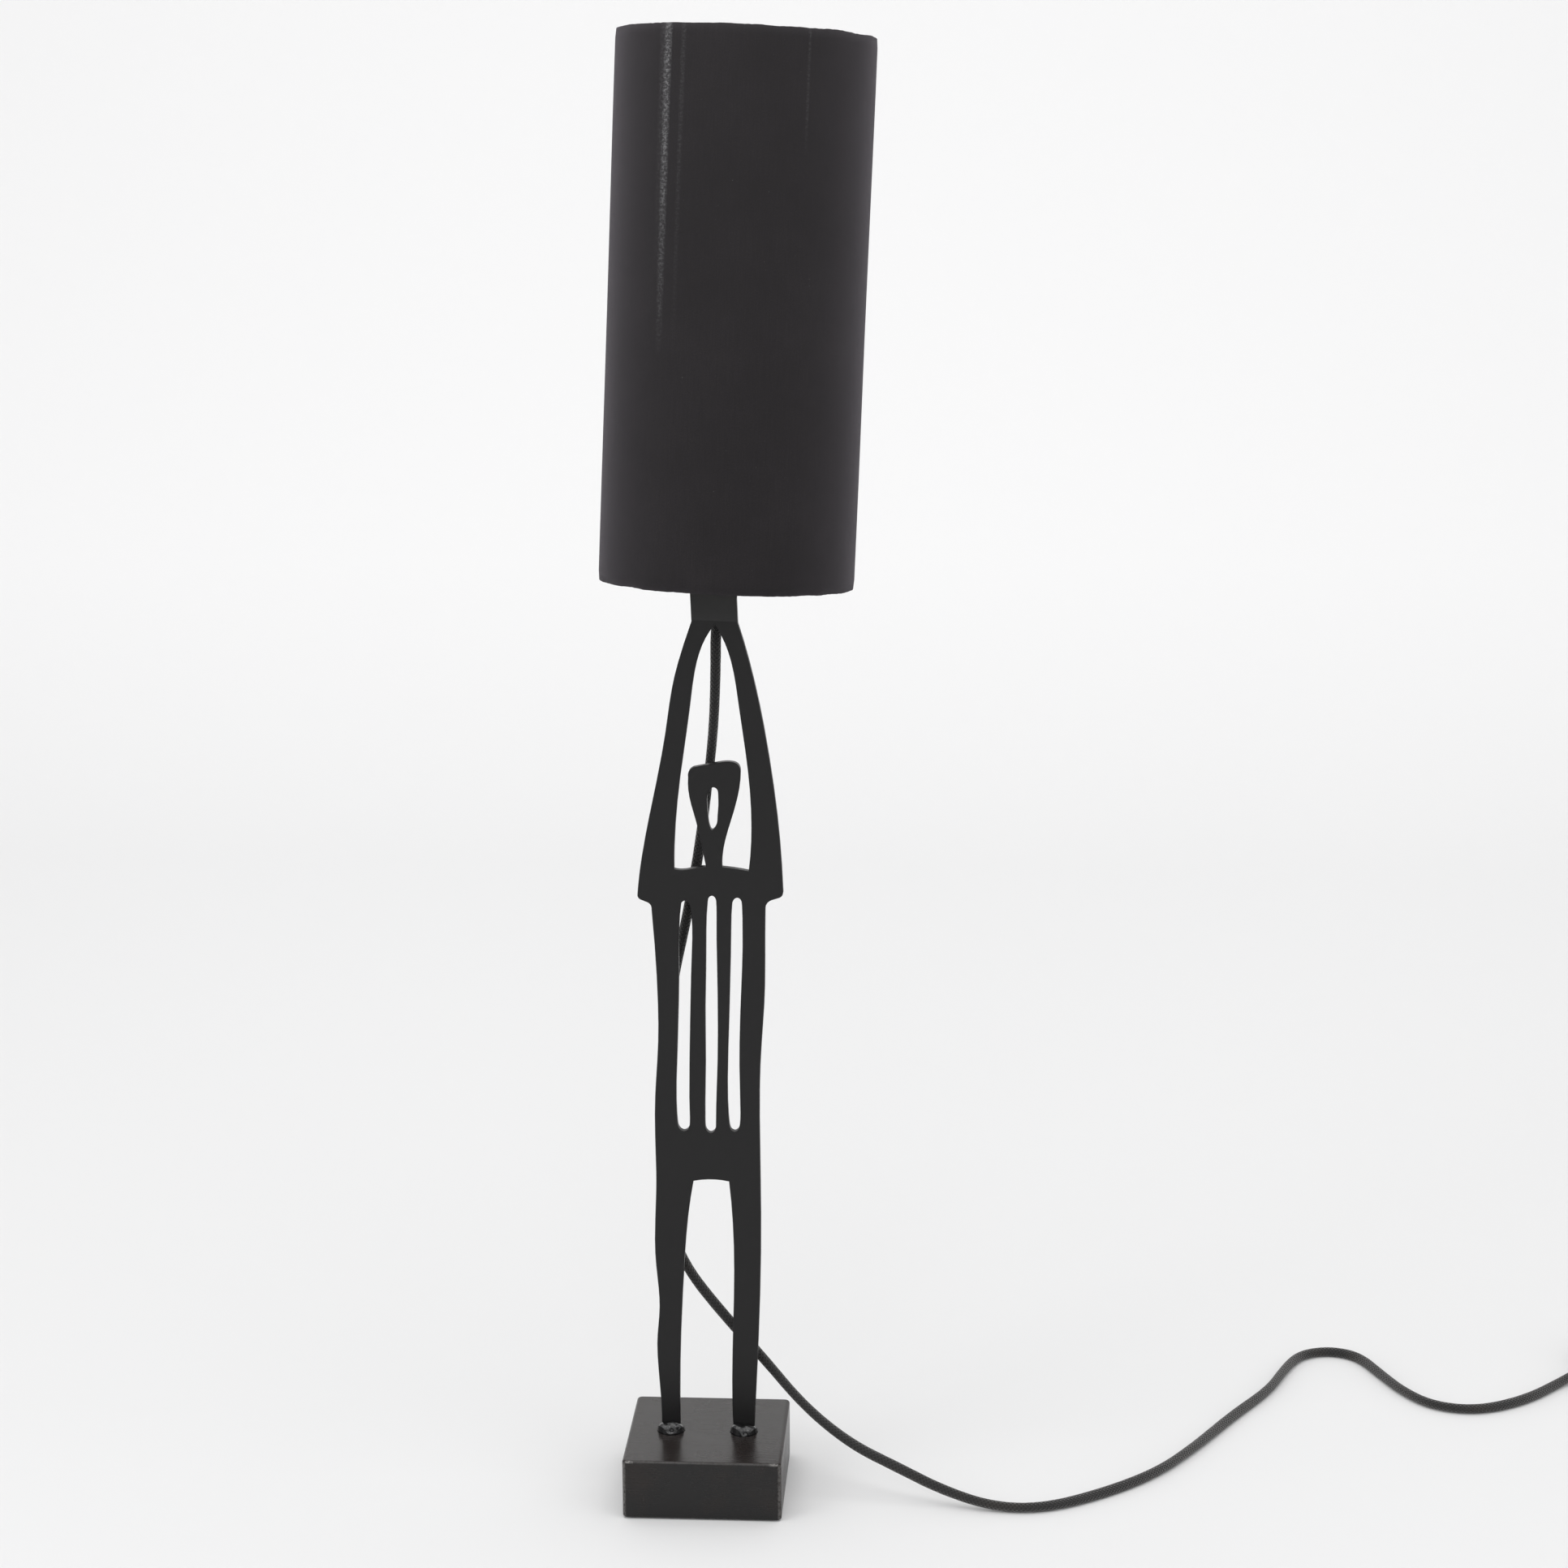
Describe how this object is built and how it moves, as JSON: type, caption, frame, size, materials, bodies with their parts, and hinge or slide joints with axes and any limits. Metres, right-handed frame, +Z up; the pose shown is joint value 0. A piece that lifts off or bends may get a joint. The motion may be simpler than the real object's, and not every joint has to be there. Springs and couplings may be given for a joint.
{
  "type": "figural table lamp",
  "caption": "Tall table lamp: a flat steel figure with raised arms on a square block holds a tall drum shade; textile cord with in-line switch and plug.",
  "frame": {"origin": "centre of the lamp's underside, where the felt meets the table", "axes": "+X to the right seen from the front, +Y to the back, +Z up"},
  "size_m": [0.8085, 0.3455, 0.9147],
  "materials": {
    "base_paint": "satin black lacquer over fine brushed lines",
    "figure_paint": "satin black lacquer on plate",
    "weld_paint": "gloss black lacquer on weld beads",
    "felt": "black wool felt",
    "zinc": "zinc plated steel",
    "brass": "plain brass",
    "holder_plastic": "black thermoset",
    "porcelain": "glazed porcelain",
    "bulb_insulator": "black glass insulator with a tin contact",
    "bulb_metal": "bright nickel cap",
    "bulb_glass": "clear glass envelope",
    "shade_cloth": "black cotton on a stiff liner, white inside",
    "shade_wire": "white enamelled wire",
    "cord_textile": "black braided textile",
    "cord_plastic": "black moulded plastic",
    "pin_metal": "nickel plated brass"
  },
  "bodies": {
    "root": {"base_block": "base_paint", "felt_pad": "felt", "figure_plate": "figure_paint", "left_foot_weld": "weld_paint", "right_foot_weld": "weld_paint", "leg_studs": "zinc", "stud_washers": "zinc", "stud_nuts": "zinc", "threaded_nipple": "zinc", "nipple_locknut": "zinc", "lampholder_cap": "holder_plastic", "lampholder_shell": "holder_plastic", "lampholder_insert": "porcelain", "lampholder_liner": "brass", "centre_contact": "brass", "terminal_screws": "brass", "lower_shade_ring": "holder_plastic", "upper_shade_ring": "holder_plastic", "cord_strain_relief": "cord_plastic", "cord_run": "cord_textile", "cord_coil": "cord_textile", "switch_base": "cord_plastic", "switch_cover": "cord_plastic", "switch_screws": "zinc", "plug_strain_relief": "cord_plastic", "plug_body": "cord_plastic", "plug_pins": "pin_metal"},
    "shade": {"shade_drum": "shade_cloth", "shade_top_ring": "shade_wire", "shade_lower_ring": "shade_wire", "spider_plate": "shade_wire", "spider_arms": "shade_wire"},
    "bulb_lift": {"bulb_contact": "bulb_insulator"},
    "bulb": {"bulb_cap": "bulb_metal", "bulb_glass": "bulb_glass"},
    "rocker": {"switch_rocker": "cord_plastic"}
  },
  "joints": [
    {"name": "shade_turn", "type": "hinge", "parent": "root", "child": "shade", "pos_m": [0.01768, 0.02592, 0.66532], "axis": [0.0393, 0.0721, 0.9966], "continuous": true},
    {"name": "bulb_rise", "type": "slide", "parent": "root", "child": "bulb_lift", "axis": [0.0393, 0.0721, 0.9966], "range_m": [0, 0.02177]},
    {"name": "bulb_unscrew", "type": "hinge", "parent": "bulb_lift", "child": "bulb", "pos_m": [0.01799, 0.02649, 0.6733], "axis": [0.0393, 0.0721, 0.9966], "range_deg": [0, 2160]},
    {"name": "switch_rock", "type": "hinge", "parent": "root", "child": "rocker", "pos_m": [0.62321, 0.22978, 0.013], "axis": [-0.682, 0.7314, 0], "range_deg": [0, 16]}
  ],
  "couplings": [
    {"joint": "bulb_unscrew", "follows": "bulb_rise", "rad_per_m": 1731.4}
  ]
}
